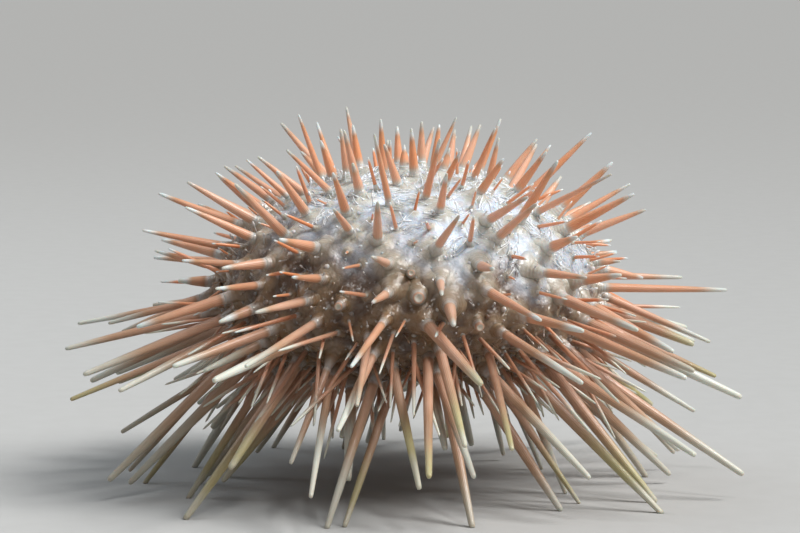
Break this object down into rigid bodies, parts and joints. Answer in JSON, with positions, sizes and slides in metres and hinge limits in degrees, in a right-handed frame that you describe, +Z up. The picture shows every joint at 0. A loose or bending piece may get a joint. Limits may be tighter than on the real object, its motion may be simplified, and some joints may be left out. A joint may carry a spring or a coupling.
{
  "type": "sea urchin",
  "caption": "Whole sea urchin, a flattened round body covered with tapered spines, standing on the spines of its underside.",
  "frame": {"origin": "on the floor, below the middle of the shell", "axes": "+Z up through the top of the shell, -Y towards the front"},
  "size_m": [0.0854, 0.0849, 0.0475],
  "materials": {
    "skin": "wet translucent skin, pale grey above and tan below",
    "spine": "finely ribbed calcite, salmon with pale tips, wet sheen",
    "tube_foot": "clear wet threads with small discs",
    "tooth": "off-white, smooth"
  },
  "bodies": {
    "root": {"sea_urchin": "skin"}
  },
  "joints": []
}
